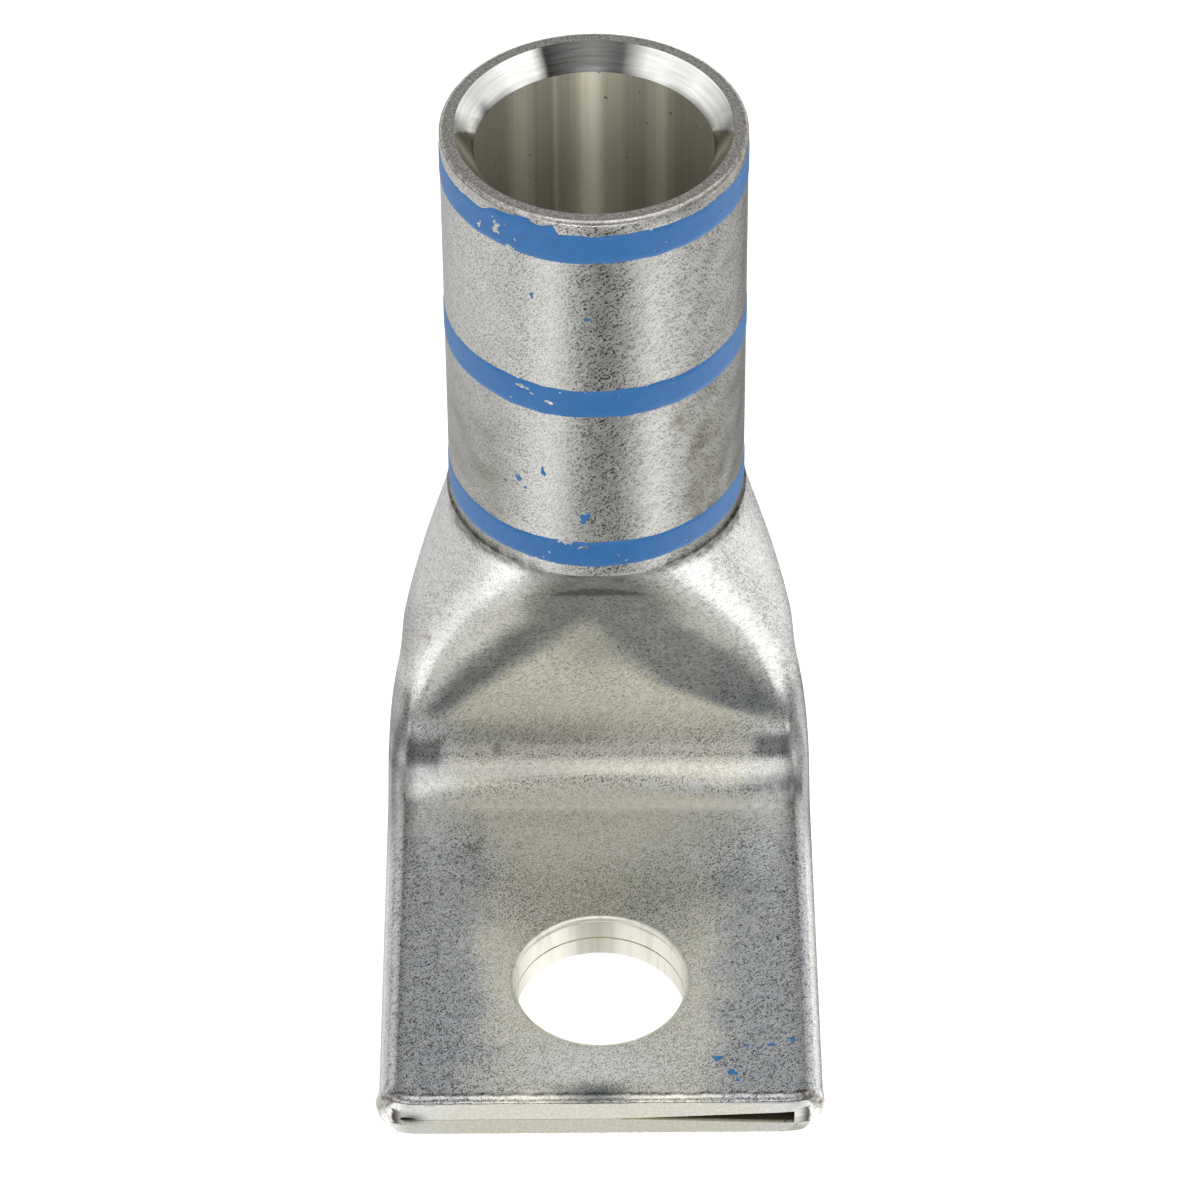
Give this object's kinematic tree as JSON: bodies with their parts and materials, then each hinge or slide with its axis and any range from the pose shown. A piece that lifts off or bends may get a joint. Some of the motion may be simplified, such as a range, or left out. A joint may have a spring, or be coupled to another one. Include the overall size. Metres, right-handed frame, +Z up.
{
  "type": "copper cable lug",
  "caption": "Right-angle compression cable lug pressed and bent from one tinned copper tube, with a countersunk barrel, blue colour bands and a flat palm with a stud hole.",
  "frame": {"origin": "centre of the stud hole on the underside of the palm", "axes": "+Z up through the stud hole and along the barrel towards its mouth, +Y from the palm's free end towards the bend, +X across the palm"},
  "size_m": [0.0368, 0.0551, 0.0728],
  "materials": {
    "tinned_copper": "satin",
    "band_ink": "satin"
  },
  "bodies": {
    "root": {"lug_body": "tinned_copper", "band_mouth": "band_ink", "band_middle": "band_ink", "band_base": "band_ink"}
  },
  "joints": []
}
